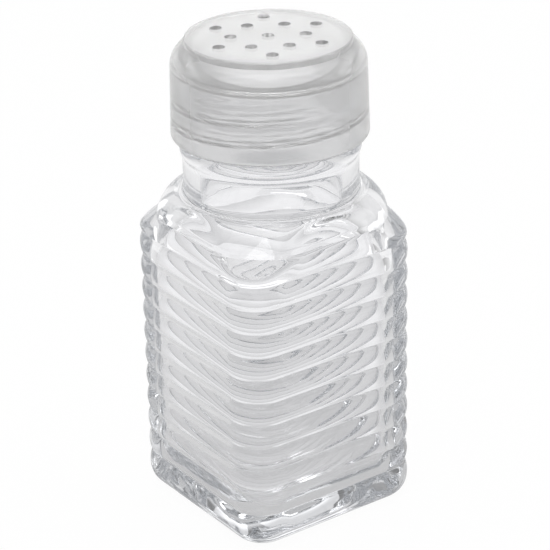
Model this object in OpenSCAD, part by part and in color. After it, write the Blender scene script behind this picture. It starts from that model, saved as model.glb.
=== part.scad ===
// Salt shaker: a square ribbed glass jar, a soft seal ring on its lip and a clear screw cap with pouring holes.
// Millimetres. Z runs up the jar, the origin is the middle of its foot, and X and Y point square out of its faces.
// The screw thread itself is left out: the neck and the cap's bore are plain, with the thread's room between them.

/* [Jar body] */
// Side of the square body, over the crests of the ribs
body_side = 42.5; // [38:0.5:50]
// Radius of the body's four upright corners, seen from above
corner_r = 7; // [5.5:0.5:9]
// Number of ribs round the body
rib_count = 11; // [8:1:13]
// Height of one rib, from groove to groove
rib_pitch = 5; // [4:0.25:6]
// How far a rib's crest stands out from the grooves
rib_relief = 0.6; // [0.3:0.1:0.9]
// Height of the plain band under the lowest groove
base_band_h = 8; // [7:0.5:12]
// Radius of the rounded bottom edge
heel_r = 4.8; // [2:0.2:5]
// Radius of the shallow hollow under the foot
hollow_r = 13; // [9:0.5:14]
// Depth of that hollow in its middle
hollow_h = 0.8; // [0.4:0.1:1.4]

/* [Jar inside] */
// Thickness of the glass, measured at the grooves
wall = 3; // [2.2:0.1:3.6]
// Thickness of the floor
floor_h = 6; // [4:0.5:8]
// Radius of the upright corners inside
inside_corner_r = 6; // [5:0.25:8]
// Radius between the floor and the walls inside
floor_fillet = 4.5; // [2:0.25:5]
// Radius of the inside of the jar under its shoulder
inside_shoulder_r = 5.8; // [4:0.2:6]
// Glass left between the top of the inside and the top of the shoulder
shoulder_wall = 4; // [3:0.25:5]

/* [Shoulder] */
// How far the round shoulder stands out past the body's flat sides, over the corners
shoulder_out = 2.55; // [1.5:0.05:3]
// Height of the straight edge between the top groove and the sloped flats
shoulder_edge_h = 1.3; // [0.6:0.1:2]
// How far the foot of the shoulder stands back from the top groove
shoulder_step = 0.1; // [0.05:0.05:0.3]
// Radius of the shoulder's curve, seen from the side
shoulder_r = 6.5; // [5.5:0.25:8]
// How far the middle of that curve lies under the top groove
shoulder_drop = 0.8; // [0.6:0.1:1.2]
// How far under the top groove the round shoulder meets the sloped shelf on each corner
shelf_drop = 0.5; // [0.2:0.1:0.5]
// Slope of those shelves, in degrees
shelf_angle = 35; // [30:1:40]

/* [Neck] */
// Radius of the neck under the cap
neck_r = 17.5; // [16.5:0.25:18.5]
// Height of the neck from the shoulder to the lip
neck_h = 24.5; // [22:0.5:28]
// Radius of the hollow curve between the shoulder and the neck
neck_fillet = 1.5; // [0.8:0.1:2]
// Radius of the neck inside the cap
finish_r = 16.6; // [15.8:0.1:17]
// How far the bead under the cap stands out from the neck
bead_out = 0.5; // [0.3:0.1:0.8]
// Height of the bead
bead_h = 3.2; // [2.4:0.2:4]
// Thickness of the glass between the neck inside the cap and the mouth
lip_wall = 2.4; // [2.2:0.1:3.4]
// Radius of the lip's rounded edges
lip_round = 0.7; // [0.3:0.1:0.8]

/* [Seal ring] */
// Thickness of the ring between the lip and the cap
ring_h = 0.8; // [0.5:0.1:1.2]
// How far the ring's hole clears the mouth
ring_mouth_gap = 0.5; // [0.3:0.1:0.8]
// Room between the ring and the cap's bore
ring_side_gap = 0.3; // [0.2:0.1:0.5]

/* [Cap] */
// Room that the thread takes between the neck and the cap's bore
thread_room = 1.4; // [1.2:0.1:1.8]
// Thickness of the cap's wall at its rim
cap_wall = 1.6; // [1.4:0.1:2]
// How much the cap narrows from its rim to its shoulder, on the radius
cap_draft = 0.33; // [0:0.01:0.5]
// How far the skirt reaches down past the seal ring
skirt_h = 14; // [12:0.5:14.5]
// Radius of the rim's outer edge
rim_round = 0.6; // [0.2:0.1:0.7]
// Width of the step inside the cap that bears on the ring
ledge_w = 1.8; // [1.6:0.1:2.2]
// Radius of the cap's round shoulder
cap_shoulder_r = 4.8; // [4:0.1:5]
// Height from the step inside the cap to the start of its round shoulder
cap_shoulder_up = 0.1; // [0:0.1:0.6]
// Radius of the raised disc on top
disc_r = 16.5; // [15.5:0.1:17]
// Height of the disc's top above the start of the round shoulder
disc_up = 5.6; // [5.3:0.1:6.5]
// Radius of the disc's edge
disc_round = 0.5; // [0.2:0.1:0.8]
// Thickness of the top plate under the disc's face
plate_h = 2.1; // [1.6:0.1:2.4]
// Radius between the plate and the wall, inside the cap
plate_fillet = 2.5; // [1.5:0.1:3]

/* [Pouring holes] */
// Diameter of a hole
hole_d = 2.5; // [1.5:0.1:3]
// Radius of the inner ring of holes
hole_ring_in = 7.3; // [6:0.1:8]
// Radius of the outer ring of holes
hole_ring_out = 11.4; // [10.5:0.1:12]
// Number of holes in each ring
hole_count = 6; // [5:1:7]
// Turn of the whole pattern about the cap's axis, in degrees
hole_turn = -1.5; // [-30:0.5:30]

/* [Hidden] */
$fa = 5;
$fs = 0.5;

half = body_side / 2;
groove_half = half - rib_relief;
// a rib's section is one arc through its two grooves and its crest
rib_arc_r = (pow(rib_pitch / 2, 2) + pow(rib_relief, 2)) / (2 * rib_relief);
// the plain band ends in the middle of a rib, whose upper half leads to the lowest groove
band_top_z = base_band_h - rib_pitch / 2;
heel = min(heel_r, corner_r - 0.5, band_top_z - 0.2);
top_groove_z = base_band_h + rib_count * rib_pitch;

// the neck and the flats reach this far down into the ribs
overlap = 1;
shoulder_half = groove_half - shoulder_step;
shoulder_foot_r = shoulder_half + shoulder_out;
shoulder_edge_z = top_groove_z + shoulder_edge_h;
shoulder_mid_r = shoulder_foot_r - shoulder_r;
shoulder_mid_z = top_groove_z - shoulder_drop;
shoulder_top_z = shoulder_mid_z + shoulder_r;
// the shelves are one cone about the jar's axis, which cuts the corners of the top rib
shelf_z = top_groove_z - shelf_drop;
shelf_r = shoulder_mid_r + sqrt(pow(shoulder_r, 2) - pow(shelf_z - shoulder_mid_z, 2));

fillet_foot_r = neck_r + neck_fillet;
fillet_foot_z = shoulder_mid_z + sqrt(pow(shoulder_r, 2) - pow(max(fillet_foot_r - shoulder_mid_r, 0), 2));
lip_z = shoulder_top_z + neck_h;
mouth_r = finish_r - lip_wall;

ring_z = lip_z;
ledge_z = lip_z + ring_h;
bore_r = finish_r + thread_room;
rim_z = ledge_z - skirt_h;
rim_r = bore_r + cap_wall;
cap_shoulder_z = ledge_z + cap_shoulder_up;
cap_top_r = rim_r - cap_draft;
cap_shoulder_mid_r = cap_top_r - cap_shoulder_r;
disc_z = cap_shoulder_z + disc_up;
plate_z = disc_z - plate_h;
chamber_r = bore_r - ledge_w;
bead_top_z = rim_z - 1;
bead_mid_z = bead_top_z - bead_h / 2;
bead_arc_r = (pow(bead_h / 2, 2) + pow(bead_out, 2)) / (2 * bead_out);

inside_half = groove_half - wall;
inside_top_z = shoulder_top_z - shoulder_wall;
// neighbours in one section overlap by this much, and a cut runs this far past the face that it opens
eps = 0.01;
past = 1;

// A rectangle given by its two sides and its exact bottom and top.
module upright(x0, x1, z0, z1) {
    polygon([[x0, z0], [x1, z0], [x1, z1], [x0, z1]]);
}

// A square body with round corners whose walls follow the section given as child.
// The section's x is measured from the corner's axis; z0 and z1 are its bottom and top.
module square_lathe(h, r, z0, z1) {
    // the corners' axes lie on a fine grid of 1/256 mm, so that neighbouring faces meet exactly
    c = round((h - r) * 256) / 256;
    rotate([90, 0, 0])
        linear_extrude(2 * c, center = true)
            upright(-c, c, z0, z1);
    for (a = [0 : 90 : 270])
        rotate(a) {
            translate([c, c, 0])
                rotate_extrude(angle = 90)
                    children();
            translate([c, 0, 0])
                rotate([90, 0, 0])
                    linear_extrude(2 * c, center = true) {
                        children();
                        upright(-past, 0, z0, z1);
                    }
        }
}

// Section of the ribbed wall: the plain band with its round heel, half a rib on top of it, then the whole ribs.
module rib_section() {
    upright(0, corner_r - heel, 0, heel);
    upright(0, corner_r, heel, band_top_z);
    intersection() {
        translate([corner_r - heel, heel])
            circle(heel);
        upright(corner_r - heel, corner_r, 0, heel);
    }
    intersection() {
        upright(0, corner_r, band_top_z - eps, top_groove_z);
        for (i = [0 : rib_count])
            translate([0, band_top_z + i * rib_pitch])
                intersection() {
                    translate([corner_r - rib_arc_r, 0])
                        circle(rib_arc_r);
                    upright(0, corner_r, -rib_pitch / 2 - eps, rib_pitch / 2 + eps);
                }
    }
}

// Section of the jar's inside, from the floor to the underside of the shoulder.
module inside_section() {
    r0 = min(floor_fillet, inside_corner_r - 0.2);
    r1 = min(inside_shoulder_r, inside_corner_r - 0.2);
    z0 = floor_h + r0;
    z1 = inside_top_z - r1;
    upright(0, inside_corner_r - r0, floor_h, z0);
    upright(0, inside_corner_r, z0, z1);
    upright(0, inside_corner_r - r1, z1, inside_top_z);
    intersection() {
        translate([inside_corner_r - r0, z0])
            circle(r0);
        upright(inside_corner_r - r0, inside_corner_r, floor_h, z0);
    }
    intersection() {
        translate([inside_corner_r - r1, z1])
            circle(r1);
        upright(inside_corner_r - r1, inside_corner_r, z1, inside_top_z);
    }
}

// The round shoulder, cut by four sloped flats that carry the body's sides up towards the neck.
module shoulder() {
    flat_top = fillet_foot_r + 0.1;
    intersection() {
        rotate_extrude() {
            upright(0, shoulder_mid_r, shoulder_mid_z, shoulder_top_z);
            intersection() {
                translate([shoulder_mid_r, shoulder_mid_z])
                    circle(shoulder_r);
                upright(shoulder_mid_r, shoulder_foot_r, shoulder_mid_z, shoulder_top_z);
            }
        }
        for_flats(flat_top);
    }
}

// What lies between the sloped flats on all four sides.
module for_flats(flat_top) {
    intersection() {
        flat_pair(flat_top);
        rotate(90)
            flat_pair(flat_top);
    }
}

// What lies between the sloped flats on two opposite sides.
module flat_pair(flat_top) {
    rotate([90, 0, 0])
        translate([0, 0, -body_side])
            linear_extrude(2 * body_side)
                polygon([
                    [-shoulder_half, top_groove_z - overlap],
                    [shoulder_half, top_groove_z - overlap],
                    [shoulder_half, shoulder_edge_z],
                    [flat_top, fillet_foot_z],
                    [flat_top, shoulder_top_z + past],
                    [-flat_top, shoulder_top_z + past],
                    [-flat_top, fillet_foot_z],
                    [-shoulder_half, shoulder_edge_z],
                ]);
}

// What lies under the cone of the corner shelves.
module under_shelves() {
    far_r = body_side;
    rotate_extrude()
        polygon([
            [0, -past],
            [far_r, -past],
            [far_r, shelf_z - (far_r - shelf_r) * tan(shelf_angle)],
            [shelf_r - (shelf_drop + past) / tan(shelf_angle), top_groove_z + past],
            [0, top_groove_z + past],
        ]);
}

// The neck, turned in one piece: hollow curve at its foot, bead under the cap, plain finish and rounded lip.
module neck() {
    rotate_extrude() {
        difference() {
            translate([0, top_groove_z - overlap])
                square([fillet_foot_r, fillet_foot_z + neck_fillet - top_groove_z + overlap]);
            translate([fillet_foot_r, fillet_foot_z + neck_fillet])
                circle(neck_fillet);
        }
        translate([0, fillet_foot_z])
            square([neck_r, bead_top_z - fillet_foot_z]);
        intersection() {
            translate([neck_r + bead_out - bead_arc_r, bead_mid_z])
                circle(bead_arc_r);
            translate([0, bead_mid_z - bead_h / 2])
                square([neck_r + bead_out, bead_h]);
        }
        translate([0, bead_top_z])
            square([finish_r, lip_z - lip_round - bead_top_z]);
        translate([0, lip_z - lip_round])
            square([finish_r - lip_round, lip_round]);
        translate([finish_r - lip_round, lip_z - lip_round])
            intersection() {
                circle(lip_round);
                square(lip_round);
            }
    }
}

// The way in: the mouth's bore, opened out by the lip's inner rounding.
module mouth() {
    translate([0, 0, inside_top_z - inside_shoulder_r])
        cylinder(r = mouth_r, h = lip_z - inside_top_z + inside_shoulder_r + past);
    rotate_extrude()
        difference() {
            translate([mouth_r - past, lip_z - lip_round])
                square([lip_round + past, lip_round + past]);
            translate([mouth_r + lip_round, lip_z - lip_round])
                circle(lip_round);
        }
}

// The shallow hollow that lets the foot stand on its outer band.
module foot_hollow() {
    r = (pow(hollow_r, 2) + pow(hollow_h, 2)) / (2 * hollow_h);
    translate([0, 0, hollow_h - r])
        sphere(r);
}

module glass_jar() {
    color([0.84, 0.88, 0.88])
        difference() {
            union() {
                intersection() {
                    square_lathe(half, corner_r, 0, top_groove_z)
                        rib_section();
                    under_shelves();
                }
                shoulder();
                neck();
            }
            square_lathe(inside_half, inside_corner_r, floor_h, inside_top_z)
                inside_section();
            mouth();
            foot_hollow();
        }
}

module seal_ring() {
    color([0.93, 0.93, 0.9])
        translate([0, 0, ring_z])
            difference() {
                cylinder(r = bore_r - ring_side_gap, h = ring_h);
                translate([0, 0, -past])
                    cylinder(r = mouth_r + ring_mouth_gap, h = ring_h + 2 * past);
            }
}

// Outer section of the cap: tapered skirt with a round rim, round shoulder and raised disc.
module cap_outside() {
    polygon([
        [0, rim_z],
        [rim_r - rim_round, rim_z],
        [rim_r, rim_z + rim_round],
        [cap_top_r, cap_shoulder_z],
        [0, cap_shoulder_z],
    ]);
    intersection() {
        translate([rim_r - rim_round, rim_z + rim_round])
            circle(rim_round);
        translate([0, rim_z])
            square([rim_r, rim_round]);
    }
    translate([0, cap_shoulder_z])
        square([cap_shoulder_mid_r, cap_shoulder_r]);
    intersection() {
        translate([cap_shoulder_mid_r, cap_shoulder_z])
            circle(cap_shoulder_r);
        translate([0, cap_shoulder_z])
            square([cap_top_r, cap_shoulder_r]);
    }
    translate([0, cap_shoulder_z])
        square([disc_r, disc_up - disc_round]);
    translate([0, cap_shoulder_z])
        square([disc_r - disc_round, disc_up]);
    translate([disc_r - disc_round, disc_z - disc_round])
        intersection() {
            circle(disc_round);
            square(disc_round);
        }
}

// Inner section of the cap: plain bore, step for the ring and a chamber with a rounded roof.
module cap_inside() {
    translate([0, rim_z - past])
        square([bore_r, ledge_z - rim_z + past]);
    translate([0, ledge_z - eps])
        square([chamber_r, plate_z - plate_fillet - ledge_z + eps]);
    translate([0, plate_z - plate_fillet])
        square([chamber_r - plate_fillet, plate_fillet]);
    translate([chamber_r - plate_fillet, plate_z - plate_fillet])
        intersection() {
            circle(plate_fillet);
            square(plate_fillet);
        }
}

// One pouring hole in the middle and two rings of them, the outer ring half a step on from the inner.
module pouring_holes() {
    step = 360 / hole_count;
    translate([0, 0, plate_z - past])
        linear_extrude(plate_h + 2 * past)
            rotate(hole_turn) {
                circle(d = hole_d);
                for (i = [0 : hole_count - 1]) {
                    rotate((i + 0.5) * step)
                        translate([hole_ring_in, 0])
                            circle(d = hole_d);
                    rotate(i * step)
                        translate([hole_ring_out, 0])
                            circle(d = hole_d);
                }
            }
}

module screw_cap() {
    color([0.88, 0.88, 0.87])
        difference() {
            rotate_extrude()
                difference() {
                    cap_outside();
                    cap_inside();
                }
            pouring_holes();
        }
}

glass_jar();
seal_ring();
screw_cap();
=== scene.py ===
"""Looks of a glass salt shaker: a square ribbed jar, a soft seal and a clear screw cap with pouring holes.

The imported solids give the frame. Each piece is a stack of rings that one Geometry Nodes lathe joins into a
closed mesh: a ring is a square with round corners at one height, and the neck and the cap use rings that are
all corner.
"""
import math
from collections import namedtuple

import bpy
from bpy.props import FloatProperty, FloatVectorProperty, IntProperty, PointerProperty
from mathutils import Matrix, Vector


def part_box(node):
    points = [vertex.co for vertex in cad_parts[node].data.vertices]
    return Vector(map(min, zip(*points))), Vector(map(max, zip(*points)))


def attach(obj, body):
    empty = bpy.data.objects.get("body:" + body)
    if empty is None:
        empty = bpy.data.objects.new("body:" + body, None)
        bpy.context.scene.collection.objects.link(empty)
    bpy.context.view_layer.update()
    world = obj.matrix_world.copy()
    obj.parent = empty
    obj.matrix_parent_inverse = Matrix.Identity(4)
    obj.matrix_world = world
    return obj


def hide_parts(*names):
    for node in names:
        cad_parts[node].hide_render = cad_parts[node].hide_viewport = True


bl_info = {
    "name": "Glass salt shaker",
    "version": (1, 0, 0),
    "blender": (4, 5, 0),
    "location": "3D View > Sidebar > Shaker",
    "description": "Builds a ribbed glass salt shaker with a clear screw cap on its packed frame",
    "category": "Object",
}

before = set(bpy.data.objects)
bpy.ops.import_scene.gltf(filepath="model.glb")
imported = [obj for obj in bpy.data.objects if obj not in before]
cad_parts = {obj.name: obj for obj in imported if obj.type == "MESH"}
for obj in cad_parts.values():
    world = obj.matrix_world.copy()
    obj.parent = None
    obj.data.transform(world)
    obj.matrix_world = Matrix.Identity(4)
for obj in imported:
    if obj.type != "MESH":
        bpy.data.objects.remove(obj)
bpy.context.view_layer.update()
JAR_LOW, JAR_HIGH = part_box("glass_jar")
RING_LOW, RING_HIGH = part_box("seal_ring")
CAP_LOW, CAP_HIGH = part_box("screw_cap")

MM = 0.001
# a limit that no ring reaches
FAR = 1.0
# room that keeps the faces of two pieces from lying in one plane
HAIR = 0.03 * MM
# steps round a full turn of every lathe
SEGMENTS = 192
# the lathe joins points that are closer than this
WELD = 0.0005 * MM
# edges that turn by more than this stay crisp
CRISP_ANGLE = math.radians(38)
# half width of the thread's flat crest, as a share of its width at the foot
CREST_SHARE = 0.12
# part of a turn over which the thread rises at each end
RUN_OUT = 0.15
# the node that every sum in a tree uses
MATH = "ShaderNodeMath"

# a ring's half width, corner radius, cutting circle and height, and its share of the thread and the ripple
Ring = namedtuple("Ring", "half corner limit height thread ripple", defaults=(0.0, 0.0))


def mm(value):
    """Millimetres as Blender's metres."""
    return value * MM


def length(name, description, default):
    """A property that holds a length in metres."""
    return FloatProperty(name=name, description=description, default=default, unit="LENGTH", precision=5)


def degrees(name, description, default):
    """A property that holds an angle, given in degrees."""
    return FloatProperty(name=name, description=description, default=math.radians(default), subtype="ANGLE")


def number(name, description, default, unit="NONE"):
    """A property that holds a plain number or one with a unit."""
    return FloatProperty(name=name, description=description, default=default, unit=unit)


def count(name, description, default, lowest):
    """A property that holds a whole number."""
    return IntProperty(name=name, description=description, default=default, min=lowest)


def linear(code):
    """An sRGB hex value as linear red, green and blue."""
    parts = [int(code[i : i + 2], 16) / 255 for i in (1, 3, 5)]
    return tuple(p / 12.92 if p <= 0.04045 else ((p + 0.055) / 1.055) ** 2.4 for p in parts)


def colour(name, description, code):
    """A property that holds a colour, given as sRGB hex."""
    return FloatVectorProperty(
        name=name, description=description, default=linear(code), subtype="COLOR", size=3, min=0, max=1
    )


class JarSizes(bpy.types.PropertyGroup):
    """Sizes of the glass jar."""

    body_side: length("Body side", "Side of the square body over the ribs", JAR_HIGH.x - JAR_LOW.x)
    corner_r: length("Corner radius", "Radius of the body's upright corners", mm(7))
    rib_count: count("Ribs", "Number of whole ribs", 11, 1)
    rib_pitch: length("Rib pitch", "Height of one rib", mm(5))
    rib_relief: length("Rib relief", "How far a crest stands out from the grooves", mm(0.6))
    groove_r: length("Groove radius", "Radius at the bottom of a groove", mm(0.3))
    band_h: length("Base band", "Height of the band under the lowest groove", mm(8))
    heel_r: length("Heel radius", "Radius of the rounded bottom edge", mm(4.8))
    hollow_r: length("Hollow radius", "Radius of the shallow hollow under the foot", mm(13))
    hollow_h: length("Hollow depth", "Depth of that hollow in its middle", mm(0.8))
    wall: length("Wall", "Thickness of the glass at the grooves", mm(3))
    floor_h: length("Floor", "Thickness of the floor", mm(6))
    inside_corner_r: length("Inside corner", "Radius of the upright corners inside", mm(6))
    floor_fillet: length("Floor fillet", "Radius between floor and walls inside", mm(4.5))
    inside_shoulder_h: length("Inside shoulder", "Height of the curve under the shoulder", mm(12))
    inside_top_z: length("Inside top", "Height of the top of the inside", mm(64.7))
    shoulder_step: length("Shoulder step", "How far the shoulder stands back from the top groove", mm(0.1))
    shoulder_out: length("Shoulder out", "How far the round shoulder passes the flat sides", mm(2.55))
    shoulder_edge_h: length("Shoulder edge", "Height of the straight edge over the top groove", mm(1.3))
    shoulder_r: length("Shoulder radius", "Radius of the shoulder's curve", mm(6.5))
    shoulder_drop: length("Shoulder drop", "Depth of the curve's middle under the top groove", mm(0.8))
    shoulder_blend: length("Shoulder blend", "Softness of the edge between shoulder and flats", mm(1.4))
    shelf_drop: length("Shelf drop", "Depth under the top groove where a shelf meets the shoulder", mm(0.5))
    shelf_angle: degrees("Shelf angle", "Slope of the corner shelves", 35)
    neck_r: length("Neck radius", "Radius of the neck under the cap", mm(17.5))
    neck_fillet: length("Neck fillet", "Radius of the hollow curve at the neck's foot", mm(1.5))
    bead_out: length("Bead", "How far the bead stands out from the neck", mm(0.5))
    bead_h: length("Bead height", "Height of the bead", mm(3.2))
    finish_r: length("Finish radius", "Radius of the neck inside the cap", mm(16.6))
    mouth_r: length("Mouth radius", "Radius of the mouth", mm(14.2))
    lip_round: length("Lip rounding", "Radius of the lip's edges", mm(0.7))
    lip_z: length("Lip height", "Height of the lip", JAR_HIGH.z)
    ripple_h: length("Ripple", "Unevenness of the pressed inside", mm(0.06))
    ripple_size: length("Ripple size", "Width of one wave of that unevenness", mm(11))


class CapSizes(bpy.types.PropertyGroup):
    """Sizes of the screw cap and of its pouring holes."""

    rim_z: length("Rim height", "Height of the cap's rim", CAP_LOW.z)
    rim_r: length("Rim radius", "Radius of the cap at its rim", CAP_HIGH.x)
    rim_round: length("Rim rounding", "Radius of the rim's outer edge", mm(0.6))
    draft: length("Draft", "How much the skirt narrows upwards", mm(0.33))
    shoulder_r: length("Shoulder radius", "Radius of the cap's round shoulder", mm(4.8))
    shoulder_up: length("Shoulder start", "Height of the shoulder's start over the step inside", mm(0.1))
    disc_r: length("Disc radius", "Radius of the raised disc", mm(16.5))
    disc_round: length("Disc rounding", "Radius of the disc's edge", mm(0.5))
    disc_z: length("Disc height", "Height of the disc's face", CAP_HIGH.z)
    bore_r: length("Bore radius", "Radius of the cap's bore", mm(18))
    ledge_z: length("Step height", "Height of the step that bears on the seal", RING_HIGH.z)
    ledge_w: length("Step width", "Width of that step", mm(1.8))
    plate_h: length("Plate", "Thickness of the top plate", mm(2.1))
    plate_fillet: length("Plate fillet", "Radius between plate and wall inside", mm(2.5))
    hole_d: length("Hole", "Diameter of a pouring hole", mm(2.5))
    hole_ring_in: length("Inner ring", "Radius of the inner ring of holes", mm(7.3))
    hole_ring_out: length("Outer ring", "Radius of the outer ring of holes", mm(11.4))
    hole_count: count("Holes in a ring", "Number of holes in each ring", 6, 3)
    hole_turn: degrees("Hole turn", "Turn of the pattern", -1.5)


class ThreadSizes(bpy.types.PropertyGroup):
    """Sizes of the right-hand screw thread."""

    pitch: length("Pitch", "Rise of one turn", mm(4.2))
    jar_start_z: length("Start on the jar", "Height where the jar's thread starts", mm(83.56))
    jar_turns: number("Turns on the jar", "Length of the jar's thread in turns", 1.75)
    jar_out: length("Jar thread height", "How far it stands out from the neck", mm(0.95))
    jar_width: length("Jar thread width", "Width at its foot", mm(2.1))
    cap_turns: number("Turns in the cap", "Length of the cap's thread in turns", 1.75)
    cap_in: length("Cap thread height", "How far it stands in from the bore", mm(0.85))
    cap_width: length("Cap thread width", "Width at its foot", mm(1.6))


class ShakerColours(bpy.types.PropertyGroup):
    """Colours of the shaker's materials and of the stage."""

    glass: colour("Glass", "Tint of the glass", "#FEFEFF")
    glass_depth: colour("Thick glass", "Colour that the glass takes on where it is thick", "#D4D7DB")
    cap: colour("Cap plastic", "Tint of the clear plastic", "#F8F8F8")
    seal: colour("Seal", "Colour of the soft seal", "#F7F7F5")
    table: colour("Table", "Colour of the floor", "#FFFFFF")


class StageSettings(bpy.types.PropertyGroup):
    """Settings of the floor and the light."""

    floor_r: length("Floor radius", "Radius of the round floor", 2.5)
    top_power: number("Top light", "Power of the soft box overhead in watts", 12.5, "POWER")
    key_power: number("Key light", "Power of the soft box in front in watts", 5, "POWER")
    back_power: number("Back light", "Power of the soft box behind in watts", 1.8, "POWER")
    backdrop: number("Backdrop", "Brightness of the wall behind the shaker", 0.85)
    room: number("Room", "Brightness of the room behind the camera", 0.05)
    ceiling: number("Ceiling", "Brightness of the room overhead", 0.25)
    sides: number("Sides", "Brightness of the room at both sides", 0.4)
    # the contact shade, the shade and the open table set the painted shade in the table's glow that the glass
    # shows
    contact: number("Contact shade", "What the foot leaves of the table's light", 0.9)
    contact_r: length("Contact radius", "Radius of the shade right round the foot", mm(60))
    shade: number("Shade", "Brightness of the table round the shaker", 0.64)
    open_table: number("Open table", "Brightness of the table far from it", 0.95)
    shade_r: length("Shade radius", "Radius of the wide soft shade on the table", mm(300))


def add(tree, kind, inputs=(), **settings):
    """Adds a node; an input is a value, a socket, or a node whose first output is meant."""
    node = tree.nodes.new(kind)
    for name, value in settings.items():
        setattr(node, name, value)
    pairs = inputs.items() if isinstance(inputs, dict) else enumerate(inputs)
    for key, value in pairs:
        if isinstance(value, bpy.types.Node):
            value = value.outputs[0]
        if isinstance(value, bpy.types.NodeSocket):
            tree.links.new(value, node.inputs[key])
        else:
            node.inputs[key].default_value = value
    return node


def arc(mid_r, mid_z, radius, start, end, steps):
    """Points of an arc in a section, from one angle to another in degrees, both ends among them."""
    turns = [math.radians(start + (end - start) * i / steps) for i in range(steps + 1)]
    return [(mid_r + radius * math.cos(t), mid_z + radius * math.sin(t)) for t in turns]


def stretch(start, end, steps):
    """Evenly spaced values between two ends, both ends left out."""
    return [start + (end - start) * i / steps for i in range(1, steps)]


def round_rings(points, **marks):
    """Round rings through the points of a section."""
    return [Ring(r, r, FAR, z, **marks) for r, z in points]


def square_rings(points, inset, limit=lambda z: FAR, **marks):
    """Rings with flat sides, whose corner axes lie inset from the middle, cut by a circle for each height."""
    return [Ring(h, max(h - inset, 0), limit(z), z, **marks) for h, z in points]


def foot_rings(jar):
    """The shallow hollow under the foot and the flat band that the jar stands on."""
    steps = 6
    ball = (jar.hollow_r**2 + jar.hollow_h**2) / (2 * jar.hollow_h)
    radii = [jar.hollow_r * i / steps for i in range(steps + 1)]
    return round_rings([(r, jar.hollow_h - ball + math.sqrt(ball**2 - r**2)) for r in radii])


def rib_points(jar):
    """Section of the ribbed wall up to the top groove: round heel, plain band, half a rib, whole ribs."""
    half = jar.body_side / 2
    arc_r = ((jar.rib_pitch / 2) ** 2 + jar.rib_relief**2) / (2 * jar.rib_relief)
    lean = math.degrees(math.asin(jar.rib_pitch / 2 / arc_r))
    # a groove's own radius takes up this much of each rib's arc
    taken = math.degrees(jar.groove_r * math.tan(math.radians(lean)) / arc_r)
    points = arc(half - jar.heel_r, jar.heel_r, jar.heel_r, -90, 0, 10)
    for i in range(jar.rib_count + 1):
        mid_z = jar.band_h + (i - 0.5) * jar.rib_pitch
        first = 0 if i == 0 else taken - lean
        points += arc(half - arc_r, mid_z, arc_r, first, lean - taken, 6 if i == 0 else 12)
        if i < jar.rib_count:
            low_r = points[-1][0]
            reach = jar.groove_r * math.cos(math.radians(lean - taken))
            mid = (low_r + reach, mid_z + jar.rib_pitch / 2)
            points += arc(*mid, jar.groove_r, 180 + lean - taken, 180 - lean + taken, 4)[1:-1]
    return points


def top_groove_z(jar):
    """Height of the top groove."""
    return jar.band_h + jar.rib_count * jar.rib_pitch


def shoulder_curve(jar):
    """Half the width over the shoulder's flats, and the middle of the shoulder's curve in a section."""
    flat = jar.body_side / 2 - jar.rib_relief - jar.shoulder_step
    return flat, flat + jar.shoulder_out - jar.shoulder_r, top_groove_z(jar) - jar.shoulder_drop


def shoulder_limit(jar):
    """The circle that cuts a ring at a height: the cone of the corner shelves, then the round shoulder."""
    _, mid_r, mid_z = shoulder_curve(jar)
    shelf_z = top_groove_z(jar) - jar.shelf_drop
    shelf_r = mid_r + math.sqrt(jar.shoulder_r**2 - (shelf_z - mid_z) ** 2)

    def limit(z):
        if z < shelf_z:
            return shelf_r + (shelf_z - z) / math.tan(jar.shelf_angle)
        return mid_r + math.sqrt(jar.shoulder_r**2 - (z - mid_z) ** 2)

    return limit


def shoulder_rings(jar):
    """The round shoulder with its sloped flats over the sides, up to the foot of the neck."""
    steps = 22
    # the flats end this far outside the neck's hollow foot
    flat_end = mm(0.1)
    flat, mid_r, mid_z = shoulder_curve(jar)
    corner = jar.corner_r - jar.rib_relief - jar.shoulder_step
    groove_z = top_groove_z(jar)
    edge_z = groove_z + jar.shoulder_edge_h
    top_r = jar.neck_r + jar.neck_fillet
    top_z = mid_z + math.sqrt(jar.shoulder_r**2 - (top_r - mid_r) ** 2)
    slope = (top_r + flat_end - flat) / (top_z - edge_z)
    limit = shoulder_limit(jar)
    heights = [groove_z + (top_z - groove_z) * i / steps for i in range(steps + 1)]
    rings = [Ring(flat + slope * max(z - edge_z, 0), corner, limit(z), z) for z in heights]
    return rings, top_r, top_z


def neck_rings(jar, top_r, top_z):
    """The neck with its hollow foot, bead, threaded finish and rounded lip."""
    bead_under_cap = mm(1)
    finish_fillet = mm(0.35)
    bead_top = CAP_LOW.z - bead_under_cap
    bead_mid = bead_top - jar.bead_h / 2
    bead_arc = ((jar.bead_h / 2) ** 2 + jar.bead_out**2) / (2 * jar.bead_out)
    bead_lean = math.degrees(math.asin(jar.bead_h / 2 / bead_arc))
    points = arc(top_r, top_z + jar.neck_fillet, jar.neck_fillet, 270, 180, 8)
    points += [(jar.neck_r, z) for z in stretch(top_z + jar.neck_fillet, bead_top - jar.bead_h, 6)]
    points += arc(jar.neck_r + jar.bead_out - bead_arc, bead_mid, bead_arc, -bead_lean, bead_lean, 8)
    low = bead_top + finish_fillet
    points += arc(jar.finish_r + finish_fillet, low, finish_fillet, 270, 180, 4)
    high = jar.lip_z - jar.lip_round
    finish = [(jar.finish_r, z) for z in stretch(low, high, 56)]
    lip = arc(jar.finish_r - jar.lip_round, high, jar.lip_round, 0, 90, 6)
    lip += arc(jar.mouth_r + jar.lip_round, high, jar.lip_round, 90, 180, 6)
    return round_rings(points) + round_rings(finish, thread=1.0) + round_rings(lip)


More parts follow.
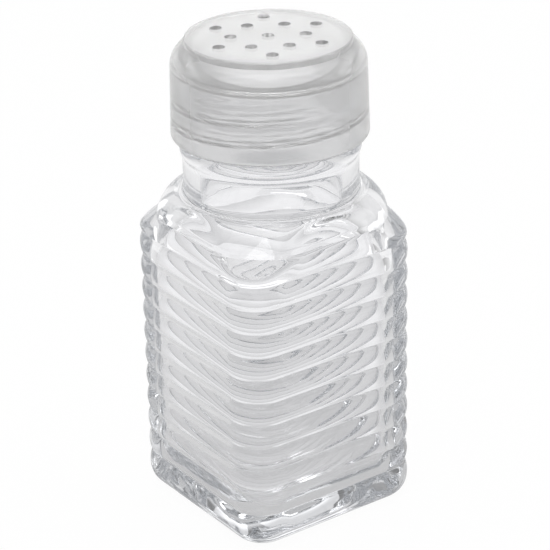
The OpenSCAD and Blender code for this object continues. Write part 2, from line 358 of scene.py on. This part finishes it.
def inside_rings(jar):
    """The mouth's bore, the inside of the shoulder, the walls and the floor."""
    # the bore ends this far over the inside's top
    bore_end = mm(0.6)
    # how late the round mouth turns square on its way down; 1 would keep pace with the width
    square_late = 3
    steps = 14
    half = jar.body_side / 2 - jar.rib_relief - jar.wall
    inset = half - jar.inside_corner_r
    bend_z = jar.inside_top_z - jar.inside_shoulder_h
    floor_edge = half - jar.floor_fillet
    bore_low = jar.inside_top_z + bore_end
    rings = round_rings([(jar.mouth_r, z) for z in stretch(jar.lip_z - jar.lip_round, bore_low, 8)])
    for i in range(steps + 1):
        turn = math.pi / 2 * i / steps
        side = jar.mouth_r + (half - jar.mouth_r) * math.sin(turn)
        corner = side - inset * math.sin(turn) ** square_late
        z = bend_z + (bore_low - bend_z) * math.cos(turn)
        rings.append(Ring(side, corner, FAR, z, ripple=math.sin(turn)))
    wall = [(half, z) for z in stretch(bend_z, jar.floor_h + jar.floor_fillet, 36)]
    rings += square_rings(wall, inset, ripple=1.0)
    fillet = arc(floor_edge, jar.floor_h + jar.floor_fillet, jar.floor_fillet, 0, -90, 10)
    rings += square_rings(fillet, inset, ripple=1.0)
    low_corner = max(floor_edge - inset, 0)
    for share in stretch(1, 0, 8):
        rings.append(Ring(floor_edge * share, low_corner * share, FAR, jar.floor_h, ripple=share))
    return rings + [Ring(0, 0, FAR, jar.floor_h)]


def jar_rings(jar):
    """The whole jar, from the middle of its floor over the lip to the middle of its foot."""
    rings = foot_rings(jar)
    rings += square_rings(rib_points(jar), jar.body_side / 2 - jar.corner_r, shoulder_limit(jar))
    shoulder, top_r, top_z = shoulder_rings(jar)
    rings += shoulder + neck_rings(jar, top_r, top_z) + inside_rings(jar)
    # in this order the lathe's faces look outwards
    return rings[::-1]


def cap_rings(cap):
    """The whole cap, from the middle of its disc round the rim to the middle of its ceiling."""
    inner_round = mm(0.3)
    ledge_round = mm(0.2)
    quarters = (0, 0.25, 0.5, 0.75)
    top_r = cap.rim_r - cap.draft
    shoulder_z = cap.ledge_z + cap.shoulder_up
    mid_r = top_r - cap.shoulder_r
    foot = math.degrees(math.acos((cap.disc_r - mid_r) / cap.shoulder_r))
    edge = cap.disc_r - cap.disc_round
    plate_z = cap.disc_z - cap.plate_h
    chamber_r = cap.bore_r - cap.ledge_w
    ceiling_r = chamber_r - cap.plate_fillet
    rim_top = cap.rim_z + cap.rim_round
    points = [(edge * share, cap.disc_z) for share in quarters]
    points += arc(edge, cap.disc_z - cap.disc_round, cap.disc_round, 90, 0, 5)
    points += arc(mid_r, shoulder_z, cap.shoulder_r, foot, 0, 14)
    points += zip(stretch(top_r, cap.rim_r, 8), stretch(shoulder_z, rim_top, 8))
    points += arc(cap.rim_r - cap.rim_round, rim_top, cap.rim_round, 0, -90, 5)
    points += arc(cap.bore_r + inner_round, cap.rim_z + inner_round, inner_round, 270, 180, 3)
    bore = stretch(cap.rim_z + inner_round, cap.ledge_z - inner_round, 52)
    bore = [(cap.bore_r, z) for z in bore]
    inside = arc(cap.bore_r - inner_round, cap.ledge_z - inner_round, inner_round, 0, 90, 3)
    inside += arc(chamber_r + ledge_round, cap.ledge_z + ledge_round, ledge_round, 270, 180, 6)
    inside += arc(ceiling_r, plate_z - cap.plate_fillet, cap.plate_fillet, 0, 90, 8)
    inside += [(ceiling_r * share, plate_z) for share in quarters[::-1]]
    return round_rings(points) + round_rings(bore, thread=1.0) + round_rings(inside)


def seal_rings(jar):
    """The flat seal between the lip and the step inside the cap, a hair thinner than the room for it."""
    past_mouth = mm(0.5)
    soft = mm(0.2)
    inner = jar.mouth_r + past_mouth
    outer = RING_HIGH.x
    low, high = RING_LOW.z + HAIR, RING_HIGH.z - HAIR
    points = arc(outer - soft, low + soft, soft, -90, 0, 4)
    points += arc(outer - soft, high - soft, soft, 0, 90, 4)
    points += arc(inner + soft, high - soft, soft, 90, 180, 4)
    points += arc(inner + soft, low + soft, soft, 180, 270, 4)
    # in this order the lathe's faces look outwards
    return round_rings(points + points[:1])[::-1]


def new_tree(name, geometry, counts, sizes):
    """An empty node tree with named inputs for a mesh, its counts, its sizes and a material."""
    tree = bpy.data.node_groups.new(name, "GeometryNodeTree")
    kinds = {geometry: "Geometry"}
    kinds |= dict.fromkeys(counts, "Int")
    kinds |= dict.fromkeys(sizes, "Float")
    kinds["Material"] = "Material"
    for title, kind in kinds.items():
        tree.interface.new_socket(title, in_out="INPUT", socket_type=f"NodeSocket{kind}")
    tree.interface.new_socket("Mesh", in_out="OUTPUT", socket_type="NodeSocketGeometry")
    return tree, add(tree, "NodeGroupInput").outputs


def finish_tree(tree, mesh, crisp_angle, material):
    """Ends a node tree: smooth faces with crisp edges, real instances and the material."""
    bend = add(tree, "GeometryNodeInputMeshEdgeAngle").outputs["Unsigned Angle"]
    soft = add(tree, MATH, (bend, crisp_angle), operation="LESS_THAN")
    every = {"Geometry": mesh, "Shade Smooth": True}
    faces = add(tree, "GeometryNodeSetShadeSmooth", every, domain="FACE")
    some = {"Geometry": faces, "Shade Smooth": soft}
    edges = add(tree, "GeometryNodeSetShadeSmooth", some, domain="EDGE")
    real = add(tree, "GeometryNodeRealizeInstances", {"Geometry": edges})
    named = add(tree, "GeometryNodeSetMaterial", {"Geometry": real, "Material": material})
    add(tree, "NodeGroupOutput", {"Mesh": named})


def lathe_tree():
    """The node tree that joins a stack of rings into one mesh, with a screw thread and an uneven inside."""
    thread = ("Thread Pitch", "Thread Start", "Thread Turns", "Thread Height", "Thread Width")
    sizes = ("Edge Blend", *thread, "Ripple Height", "Ripple Scale", "Crisp Angle", "Weld Distance")
    tree, given = new_tree("Ring lathe", "Rings", ("Ring Count", "Segments"), sizes)

    # which ring and which step round it a point belongs to; half a step keeps clear of rounding
    columns = add(tree, MATH, (given["Segments"], 1), operation="ADD")
    index = add(tree, "GeometryNodeInputIndex")
    mid_step = add(tree, MATH, (index, 0.5), operation="ADD")
    rows_done = add(tree, MATH, (mid_step, columns), operation="DIVIDE")
    row = add(tree, MATH, (rows_done,), operation="FLOOR")
    row_start = add(tree, MATH, (row, columns), operation="MULTIPLY")
    step = add(tree, MATH, (index, row_start), operation="SUBTRACT")
    turn = add(tree, MATH, (step, given["Segments"]), operation="DIVIDE")
    angle = add(tree, MATH, (turn, math.tau), operation="MULTIPLY")
    cosine = add(tree, MATH, (angle,), operation="COSINE")
    sine = add(tree, MATH, (angle,), operation="SINE")

    def of_ring(name):
        """A size of the ring that a point belongs to."""
        value = add(tree, "GeometryNodeInputNamedAttribute", {"Name": name}, data_type="FLOAT")
        links = {"Geometry": given["Rings"], "Value": value, "Index": row}
        return add(tree, "GeometryNodeSampleIndex", links, data_type="FLOAT")

    half, corner, limit, height, threaded, rippled = (of_ring(name) for name in Ring._fields)

    def spot(radius):
        """Where a point lies, at its angle and height and at this radius."""
        x = add(tree, MATH, (radius, cosine), operation="MULTIPLY")
        y = add(tree, MATH, (radius, sine), operation="MULTIPLY")
        return add(tree, "ShaderNodeCombineXYZ", (x, y, height))

    # radius of a square with round corners, folded to an eighth of a turn
    eighth = math.pi / 4
    fold = add(tree, MATH, (angle, eighth), operation="PINGPONG")
    fold_cosine = add(tree, MATH, (fold,), operation="COSINE")
    on_flat = add(tree, MATH, (half, fold_cosine), operation="DIVIDE")
    inset = add(tree, MATH, (half, corner), operation="SUBTRACT")
    diagonal = add(tree, MATH, (inset, math.sqrt(2)), operation="MULTIPLY")
    to_corner = add(tree, MATH, (eighth, fold), operation="SUBTRACT")
    corner_sine = add(tree, MATH, (to_corner,), operation="SINE")
    corner_cosine = add(tree, MATH, (to_corner,), operation="COSINE")
    across = add(tree, MATH, (diagonal, corner_sine), operation="MULTIPLY")
    corner_square = add(tree, MATH, (corner, 2), operation="POWER")
    across_square = add(tree, MATH, (across, 2), operation="POWER")
    left_over = add(tree, MATH, (corner_square, across_square), operation="SUBTRACT")
    not_below = add(tree, MATH, (left_over, 0), operation="MAXIMUM")
    past_axis = add(tree, MATH, (not_below,), operation="SQRT")
    to_axis = add(tree, MATH, (diagonal, corner_cosine), operation="MULTIPLY")
    on_corner = add(tree, MATH, (to_axis, past_axis), operation="ADD")
    fold_tangent = add(tree, MATH, (fold,), operation="TANGENT")
    along_flat = add(tree, MATH, (half, fold_tangent), operation="MULTIPLY")
    past_flat = add(tree, MATH, (along_flat, inset), operation="GREATER_THAN")
    between = add(tree, MATH, (on_corner, on_flat), operation="SUBTRACT")
    change = add(tree, MATH, (past_flat, between), operation="MULTIPLY")
    outline = add(tree, MATH, (on_flat, change), operation="ADD")
    radius = add(tree, MATH, (outline, limit, given["Edge Blend"]), operation="SMOOTH_MIN")

    # the thread's ridge: the nearest turn of the helix, with both ends run out
    over_start = add(tree, MATH, (height, given["Thread Start"]), operation="SUBTRACT")
    climbed = add(tree, MATH, (over_start, given["Thread Pitch"]), operation="DIVIDE")
    ahead = add(tree, MATH, (climbed, turn), operation="SUBTRACT")
    nearest = add(tree, MATH, (ahead,), operation="ROUND")
    off_turn = add(tree, MATH, (ahead, nearest), operation="SUBTRACT")
    off_crest = add(tree, MATH, (off_turn, given["Thread Pitch"]), operation="MULTIPLY")
    away = add(tree, MATH, (off_crest,), operation="ABSOLUTE")
    along = add(tree, MATH, (nearest, turn), operation="ADD")
    to_end = add(tree, MATH, (given["Thread Turns"], along), operation="SUBTRACT")
    foot = add(tree, MATH, (given["Thread Width"], 0.5), operation="MULTIPLY")
    crest = add(tree, MATH, (given["Thread Width"], CREST_SHARE), operation="MULTIPLY")
    rises = []
    for value, low, high in ((away, foot, crest), (along, 0.0, RUN_OUT), (to_end, 0.0, RUN_OUT)):
        span = {"Value": value, "From Min": low, "From Max": high}
        rises.append(add(tree, "ShaderNodeMapRange", span, interpolation_type="SMOOTHSTEP"))
    ridge, start, end = rises
    both_ends = add(tree, MATH, (start, end), operation="MULTIPLY")
    shape = add(tree, MATH, (ridge, both_ends), operation="MULTIPLY")
    on_thread = add(tree, MATH, (shape, threaded), operation="MULTIPLY")
    lift = add(tree, MATH, (on_thread, given["Thread Height"]), operation="MULTIPLY")
    radius = add(tree, MATH, (radius, lift), operation="ADD")

    # the pressed inside is never quite even
    waves = {"Vector": spot(radius), "Scale": given["Ripple Scale"], "Detail": 1.0, "Roughness": 0.4}
    noise = add(tree, "ShaderNodeTexNoise", waves)
    wave = add(tree, MATH, (noise, 0.5), operation="SUBTRACT")
    on_inside = add(tree, MATH, (wave, rippled), operation="MULTIPLY")
    half_sway = add(tree, MATH, (on_inside, given["Ripple Height"]), operation="MULTIPLY")
    sway = add(tree, MATH, (half_sway, 2), operation="MULTIPLY")
    radius = add(tree, MATH, (radius, sway), operation="ADD")

    sheet = {"Vertices X": given["Ring Count"], "Vertices Y": columns}
    grid = add(tree, "GeometryNodeMeshGrid", sheet)
    placed = add(tree, "GeometryNodeSetPosition", {"Geometry": grid, "Position": spot(radius)})
    joins = {"Geometry": placed, "Distance": given["Weld Distance"]}
    closed = add(tree, "GeometryNodeMergeByDistance", joins)
    finish_tree(tree, closed, given["Crisp Angle"], given["Material"])
    return tree


def hole_tree():
    """The node tree that pierces the cap: a hole in the middle and two rings of holes, half a step apart."""
    drill_sizes = ("Drill Height", "Drill Length")
    sizes = ("Hole Diameter", "Inner Ring", "Outer Ring", "Turn", *drill_sizes, "Crisp Angle")
    tree, given = new_tree("Pouring holes", "Cap", ("Count", "Hole Steps"), sizes)

    def ring_of_points(radius, turn):
        """Evenly spaced points on a circle."""
        ring = add(tree, "GeometryNodeMeshCircle", {"Vertices": given["Count"], "Radius": radius})
        spin = add(tree, "ShaderNodeCombineXYZ", {"Z": turn})
        return add(tree, "GeometryNodeTransform", {"Geometry": ring, "Rotation": spin})

    half_step = add(tree, MATH, (math.pi, given["Count"]), operation="DIVIDE")
    inner_turn = add(tree, MATH, (given["Turn"], half_step), operation="ADD")
    outer = ring_of_points(given["Outer Ring"], given["Turn"])
    inner = ring_of_points(given["Inner Ring"], inner_turn)
    middle = add(tree, "GeometryNodeMeshLine", {"Count": 1})
    points = add(tree, "GeometryNodeJoinGeometry")
    for part in (outer, inner, middle):
        tree.links.new(part.outputs[0], points.inputs[0])
    hole_r = add(tree, MATH, (given["Hole Diameter"], 0.5), operation="MULTIPLY")
    size = {"Vertices": given["Hole Steps"], "Radius": hole_r, "Depth": given["Drill Length"]}
    drill = add(tree, "GeometryNodeMeshCylinder", size)
    drills = add(tree, "GeometryNodeInstanceOnPoints", {"Points": points, "Instance": drill})
    up = add(tree, "ShaderNodeCombineXYZ", {"Z": given["Drill Height"]})
    raised = add(tree, "GeometryNodeTransform", {"Geometry": drills, "Translation": up})
    solid = add(tree, "GeometryNodeRealizeInstances", {"Geometry": raised})
    bodies = {"Mesh 1": given["Cap"], "Mesh 2": solid}
    cut = add(tree, "GeometryNodeMeshBoolean", bodies, operation="DIFFERENCE", solver="EXACT")
    finish_tree(tree, cut, given["Crisp Angle"], given["Material"])
    return tree


def ring_object(name, rings):
    """An object whose points are the rings, one each, with their sizes as attributes."""
    mesh = bpy.data.meshes.new(name)
    mesh.from_pydata([(ring.half, 0, ring.height) for ring in rings], [], [])
    for field in Ring._fields:
        values = [getattr(ring, field) for ring in rings]
        mesh.attributes.new(field, "FLOAT", "POINT").data.foreach_set("value", values)
    piece = bpy.data.objects.new(name, mesh)
    bpy.context.scene.collection.objects.link(piece)
    return piece


def apply_tree(piece, tree, values):
    """Runs a node tree on a piece with the named inputs and keeps the result as a plain mesh."""
    modifier = piece.modifiers.new(tree.name, "NODES")
    modifier.node_group = tree
    for socket in tree.interface.items_tree:
        if socket.in_out == "INPUT" and socket.name in values:
            modifier[socket.identifier] = values[socket.name]
    seen = piece.evaluated_get(bpy.context.evaluated_depsgraph_get())
    mesh = bpy.data.meshes.new_from_object(seen)
    piece.modifiers.clear()
    old = piece.data
    piece.data = mesh
    bpy.data.meshes.remove(old)
    mesh.name = piece.name
    if not mesh.polygons:
        raise RuntimeError(f"{piece.name} came out empty")


def lathe(name, rings, material, **values):
    """A finished lathe piece; a piece with no thread and no ripple leaves their sizes out."""
    tree = bpy.data.node_groups.get("Ring lathe") or lathe_tree()
    piece = ring_object(name, rings)
    inputs = {
        "Ring Count": len(rings),
        "Segments": SEGMENTS,
        "Thread Pitch": 1.0,
        "Ripple Scale": 1.0,
        "Crisp Angle": CRISP_ANGLE,
        "Weld Distance": WELD,
        "Material": material,
    }
    apply_tree(piece, tree, inputs | values)
    return piece


def new_material(name, tint, values):
    """A node material with its output and a Principled shader that has these values on its sockets."""
    material = bpy.data.materials.new(name)
    material.use_nodes = True
    tree = material.node_tree
    tree.nodes.clear()
    shader = add(tree, "ShaderNodeBsdfPrincipled", {"Base Color": (*tint, 1), **values})
    add(tree, "ShaderNodeOutputMaterial", {"Surface": shader})
    return material, tree, shader


def pressed_glass(tint, depth):
    """Soda-lime glass, pressed and fire polished: clear and smooth, with faint waves that bend what shows."""
    wave_size = mm(9)
    line_size = Vector((25, 25, 1.4)) * MM
    values = {"Transmission Weight": 1.0, "IOR": 1.52, "Roughness": 0.0}
    material, tree, shader = new_material("Pressed soda-lime glass", tint, values)
    place = add(tree, "ShaderNodeTexCoord").outputs["Object"]
    waves = add(tree, "ShaderNodeTexNoise", {"Vector": place, "Scale": 1 / wave_size, "Detail": 1.0})
    # chill lines of the mould run round the jar
    spread = {"Vector": place, "Scale": [1 / size for size in line_size]}
    drawn = add(tree, "ShaderNodeMapping", spread)
    lines = add(tree, "ShaderNodeTexNoise", {"Vector": drawn, "Scale": 1.0, "Detail": 0.0})
    chill = add(tree, "ShaderNodeBump", {"Height": lines, "Strength": 1.0, "Distance": mm(0.01)})
    relief = {"Height": waves, "Strength": 0.12, "Distance": mm(0.2), "Normal": chill}
    bumps = add(tree, "ShaderNodeBump", relief)
    tree.links.new(bumps.outputs[0], shader.inputs["Normal"])
    # light that runs a long way inside the glass, at its edges and corners, comes out darker
    thick = add(tree, "ShaderNodeVolumeAbsorption", {"Color": (*depth, 1), "Density": 10.0})
    tree.links.new(thick.outputs[0], tree.get_output_node("ALL").inputs["Volume"])
    return material


def clear_polystyrene(tint):
    """Injection-moulded clear polystyrene: bright and glossy, greyer than glass, with a breath of haze."""
    flow_size = mm(5)
    values = {"Transmission Weight": 0.72, "IOR": 1.57}
    material, tree, shader = new_material("Clear moulded polystyrene", tint, values)
    place = add(tree, "ShaderNodeTexCoord").outputs["Object"]
    flow = add(tree, "ShaderNodeTexNoise", {"Vector": place, "Scale": 1 / flow_size, "Detail": 2.0})
    haze = add(tree, "ShaderNodeMapRange", {"Value": flow, "To Min": 0.08, "To Max": 0.14})
    tree.links.new(haze.outputs[0], shader.inputs["Roughness"])
    bumps = add(tree, "ShaderNodeBump", {"Height": flow, "Strength": 0.1, "Distance": mm(0.1)})
    tree.links.new(bumps.outputs[0], shader.inputs["Normal"])
    return material


def soft_polyethylene(tint):
    """Die-cut polyethylene liner: milky, dull and half clear, with a fine pebbled face."""
    pebble_size = mm(0.6)
    values = {"Transmission Weight": 0.95, "IOR": 1.5, "Roughness": 0.45}
    material, tree, shader = new_material("Soft polyethylene liner", tint, values)
    place = add(tree, "ShaderNodeTexCoord").outputs["Object"]
    pebbles = add(tree, "ShaderNodeTexVoronoi", {"Vector": place, "Scale": 1 / pebble_size})
    bumps = add(tree, "ShaderNodeBump", {"Height": pebbles, "Strength": 0.3, "Distance": mm(0.05)})
    tree.links.new(bumps.outputs[0], shader.inputs["Normal"])
    return material


def dress(piece, body, node):
    """Seats a finished piece on its body in place of the CAD node."""
    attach(piece, body)
    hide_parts(node)


class SHAKER_OT_glass_jar(bpy.types.Operator):
    """Builds the ribbed glass jar with its shoulder, neck, thread and inside"""

    bl_idname = "shaker.glass_jar"
    bl_label = "Glass jar"

    def execute(self, context):
        scene = context.scene
        jar, thread, colours = scene.shaker_jar, scene.shaker_thread, scene.shaker_colours
        values = {
            "Edge Blend": jar.shoulder_blend,
            "Thread Pitch": thread.pitch,
            "Thread Start": thread.jar_start_z,
            "Thread Turns": thread.jar_turns,
            "Thread Height": thread.jar_out,
            "Thread Width": thread.jar_width,
            "Ripple Height": jar.ripple_h,
            "Ripple Scale": 1 / jar.ripple_size,
        }
        material = pressed_glass(colours.glass, colours.glass_depth)
        piece = lathe("jar_glass", jar_rings(jar), material, **values)
        dress(piece, "jar", "glass_jar")
        return {"FINISHED"}


class SHAKER_OT_seal_ring(bpy.types.Operator):
    """Builds the soft seal between the lip and the cap"""

    bl_idname = "shaker.seal_ring"
    bl_label = "Seal ring"

    def execute(self, context):
        scene = context.scene
        material = soft_polyethylene(scene.shaker_colours.seal)
        piece = lathe("seal_liner", seal_rings(scene.shaker_jar), material)
        dress(piece, "seal", "seal_ring")
        return {"FINISHED"}


class SHAKER_OT_screw_cap(bpy.types.Operator):
    """Builds the clear screw cap with its thread and pouring holes"""

    bl_idname = "shaker.screw_cap"
    bl_label = "Screw cap"

    def execute(self, context):
        scene = context.scene
        cap, thread = scene.shaker_cap, scene.shaker_thread
        material = clear_polystyrene(scene.shaker_colours.cap)
        values = {
            "Thread Pitch": thread.pitch,
            "Thread Start": thread.jar_start_z - thread.pitch / 2,
            "Thread Turns": thread.cap_turns,
            "Thread Height": -thread.cap_in,
            "Thread Width": thread.cap_width,
        }
        piece = lathe("cap_clear", cap_rings(cap), material, **values)
        drill_room = mm(1)
        holes = {
            "Count": cap.hole_count,
            "Hole Steps": 40,
            "Hole Diameter": cap.hole_d,
            "Inner Ring": cap.hole_ring_in,
            "Outer Ring": cap.hole_ring_out,
            "Turn": cap.hole_turn,
            "Drill Height": cap.disc_z - cap.plate_h / 2,
            "Drill Length": cap.plate_h + drill_room,
            "Crisp Angle": CRISP_ANGLE,
            "Material": material,
        }
        apply_tree(piece, hole_tree(), holes)
        dress(piece, "cap", "screw_cap")
        return {"FINISHED"}


# The camera, fitted to the photograph's outline: its place, its turn, height and roll in degrees, its lens.
CAMERA_PLACE = Vector((-245.546, -347.026, 245.084)) * MM
CAMERA_AZIMUTH = -35.3193
CAMERA_ELEVATION = 24.7959
CAMERA_ROLL = -1.3162
CAMERA_LENS = 151.65
CAMERA_SENSOR = 36.0

# Place and side of each soft box in metres, and the fill light's share of the key light's power.
TOP_BOX = ((0, 0, 1.2), 1.2)
KEY_BOX = ((-0.9, -0.5, 0.9), 1.6)
FILL_BOX = ((0.9, -0.6, 0.8), 1.4)
BACK_BOX = ((0.75, 1.06, 0.76), 1.0)
FILL_SHARE = 0.6

# Where one part of the room fades into the next: the walls by the cosine of the angle to the camera's side,
# the ceiling by the sine of the height.
BACKDROP_FADE = {"From Min": -0.85, "From Max": -0.2}
ROOM_FADE = {"From Min": 0.2, "From Max": 0.8}
CEILING_FADE = {"From Min": 0.35, "From Max": 0.6}

# Light crosses the walls of the glass and turns round inside it many times.
BOUNCES = 48


def photo_camera():
    """The camera at the photograph's viewing angle."""
    turn, rise, roll = (math.radians(a) for a in (CAMERA_AZIMUTH, CAMERA_ELEVATION, CAMERA_ROLL))
    back = Vector((math.sin(turn) * math.cos(rise), -math.cos(turn) * math.cos(rise), math.sin(rise)))
    right = Vector((math.cos(turn), math.sin(turn), 0))
    up = back.cross(right)
    side = math.cos(roll) * right + math.sin(roll) * up
    head = math.cos(roll) * up - math.sin(roll) * right
    data = bpy.data.cameras.new("Photo camera")
    data.lens = CAMERA_LENS
    data.sensor_width = CAMERA_SENSOR
    data.clip_start = 0.01
    camera = bpy.data.objects.new("Photo camera", data)
    axes = Matrix((side, head, back)).transposed().to_4x4()
    camera.matrix_world = Matrix.Translation(CAMERA_PLACE) @ axes
    bpy.context.scene.collection.objects.link(camera)
    bpy.context.scene.camera = camera


def table_floor(stage, tint):
    """The white table: a round sheet that shows white itself, and in glass a painted soft shade round the
    foot.
    """
    steps = 96
    drop = mm(-0.05)
    # where it is seen, the table glows by this share; the rest is paint that keeps the shaker's shadow
    glow_share = 0.97
    paint_share = 0.8
    turns = [math.tau * i / steps for i in range(steps)]
    rim = [(stage.floor_r * math.cos(t), stage.floor_r * math.sin(t), drop) for t in turns]
    mesh = bpy.data.meshes.new("table")
    mesh.from_pydata(rim, [], [range(steps)])
    table = bpy.data.objects.new("table", mesh)
    bpy.context.scene.collection.objects.link(table)
    material = bpy.data.materials.new("White table")
    material.use_nodes = True
    tree = material.node_tree
    tree.nodes.clear()
    place = add(tree, "ShaderNodeTexCoord").outputs["Object"]
    # painted shade: as glass shows it, the table's own glow darkens towards the foot, widely and softly, and
    # more right round it
    away = add(tree, "ShaderNodeVectorMath", (place,), operation="LENGTH").outputs["Value"]
    fade = {"Value": away, "From Max": stage.shade_r, "To Min": stage.shade, "To Max": stage.open_table}
    wide = add(tree, "ShaderNodeMapRange", fade, interpolation_type="SMOOTHSTEP")
    foot_r = stage.contact_r / 4
    close = {"Value": away, "From Min": foot_r, "From Max": stage.contact_r, "To Min": stage.contact}
    near = add(tree, "ShaderNodeMapRange", close, interpolation_type="SMOOTHSTEP")
    shaded = add(tree, MATH, (wide, near), operation="MULTIPLY")
    path = add(tree, "ShaderNodeLightPath").outputs
    by_camera = {0: path["Is Camera Ray"], 2: shaded, 3: 1.0}
    level = add(tree, "ShaderNodeMix", by_camera, data_type="FLOAT")
    paint = add(tree, "ShaderNodeBsdfDiffuse", {"Color": (*(paint_share * t for t in tint), 1)})
    glow = add(tree, "ShaderNodeEmission", {"Color": (*tint, 1), "Strength": level})
    bent = (path["Is Glossy Ray"], path["Is Transmission Ray"])
    in_glass = add(tree, MATH, bent, operation="MAXIMUM")
    seen = add(tree, MATH, (in_glass, path["Is Camera Ray"]), operation="MAXIMUM")
    share = add(tree, MATH, (seen, glow_share), operation="MULTIPLY")
    mixed = add(tree, "ShaderNodeMixShader", (share, paint, glow))
    add(tree, "ShaderNodeOutputMaterial", {"Surface": mixed})
    mesh.materials.append(material)


def studio_room(stage):
    """The room round the table: pale behind the shaker, grey at the sides and overhead, dark in front."""
    world = bpy.data.worlds.new("Studio room")
    world.use_nodes = True
    bpy.context.scene.world = world
    tree = world.node_tree
    tree.nodes.clear()
    way = add(tree, "ShaderNodeTexCoord").outputs["Generated"]
    toward = Vector((CAMERA_PLACE.x, CAMERA_PLACE.y, 0)).normalized()
    facing = add(tree, "ShaderNodeVectorMath", (way, toward), operation="DOT_PRODUCT").outputs["Value"]
    behind = {"Value": facing, **BACKDROP_FADE, "To Min": stage.backdrop, "To Max": stage.sides}
    walls = add(tree, "ShaderNodeMapRange", behind, interpolation_type="SMOOTHSTEP")
    before = {"Value": facing, **ROOM_FADE}
    near = add(tree, "ShaderNodeMapRange", before, interpolation_type="SMOOTHSTEP")
    walls = add(tree, "ShaderNodeMix", {0: near, 2: walls, 3: stage.room}, data_type="FLOAT")
    up = add(tree, "ShaderNodeSeparateXYZ", (way,)).outputs["Z"]
    overhead = {"Value": up, **CEILING_FADE}
    share = add(tree, "ShaderNodeMapRange", overhead, interpolation_type="SMOOTHSTEP")
    level = add(tree, "ShaderNodeMix", {0: share, 2: walls, 3: stage.ceiling}, data_type="FLOAT")
    glow = add(tree, "ShaderNodeBackground", {"Color": (1, 1, 1, 1), "Strength": level})
    add(tree, "ShaderNodeOutputWorld", {"Surface": glow})


def soft_box(name, place, side, power):
    """A square soft light that faces the shaker."""
    data = bpy.data.lights.new(name, "AREA")
    data.shape = "SQUARE"
    data.size = side
    data.energy = power
    lamp = bpy.data.objects.new(name, data)
    lamp.location = place
    aim = Vector((0, 0, JAR_HIGH.z / 2)) - lamp.location
    lamp.rotation_euler = aim.to_track_quat("-Z", "Y").to_euler()
    bpy.context.scene.collection.objects.link(lamp)


class SHAKER_OT_stage(bpy.types.Operator):
    """Sets up the white table, the soft studio light and the photograph's camera"""

    bl_idname = "shaker.stage"
    bl_label = "Stage"

    def execute(self, context):
        scene = context.scene
        stage = scene.shaker_stage
        scene.view_settings.view_transform = "Standard"
        scene.cycles.max_bounces = BOUNCES
        scene.cycles.transmission_bounces = BOUNCES
        scene.cycles.glossy_bounces = BOUNCES
        photo_camera()
        table_floor(stage, scene.shaker_colours.table)
        studio_room(stage)
        soft_box("Top soft box", *TOP_BOX, stage.top_power)
        soft_box("Key soft box", *KEY_BOX, stage.key_power)
        soft_box("Fill soft box", *FILL_BOX, stage.key_power * FILL_SHARE)
        soft_box("Back soft box", *BACK_BOX, stage.back_power)
        return {"FINISHED"}


class SHAKER_PT_panel(bpy.types.Panel):
    """Lists the shaker's pieces and sizes"""

    bl_idname = "SHAKER_PT_panel"
    bl_label = "Salt shaker"
    bl_space_type = "VIEW_3D"
    bl_region_type = "UI"
    bl_category = "Shaker"

    def draw(self, context):
        for operator in OPERATORS:
            self.layout.operator(operator.bl_idname)
        for name in GROUPS:
            group = getattr(context.scene, name)
            box = self.layout.box()
            box.label(text=group.bl_rna.description)
            for field in group.__annotations__:
                box.prop(group, field)


GROUPS = {
    "shaker_jar": JarSizes,
    "shaker_cap": CapSizes,
    "shaker_thread": ThreadSizes,
    "shaker_colours": ShakerColours,
    "shaker_stage": StageSettings,
}
OPERATORS = (SHAKER_OT_glass_jar, SHAKER_OT_seal_ring, SHAKER_OT_screw_cap, SHAKER_OT_stage)
CLASSES = (*GROUPS.values(), *OPERATORS, SHAKER_PT_panel)


def register():
    """Adds the classes and hangs the sizes on the scene."""
    for kind in CLASSES:
        bpy.utils.register_class(kind)
    for name, kind in GROUPS.items():
        setattr(bpy.types.Scene, name, PointerProperty(type=kind))


def unregister():
    """Takes away what register added."""
    for name in GROUPS:
        delattr(bpy.types.Scene, name)
    for kind in reversed(CLASSES):
        bpy.utils.unregister_class(kind)


def main():
    """Builds the shaker and its stage."""
    register()
    bpy.ops.shaker.stage()
    bpy.ops.shaker.glass_jar()
    bpy.ops.shaker.seal_ring()
    bpy.ops.shaker.screw_cap()


if __name__ == "__main__":
    main()
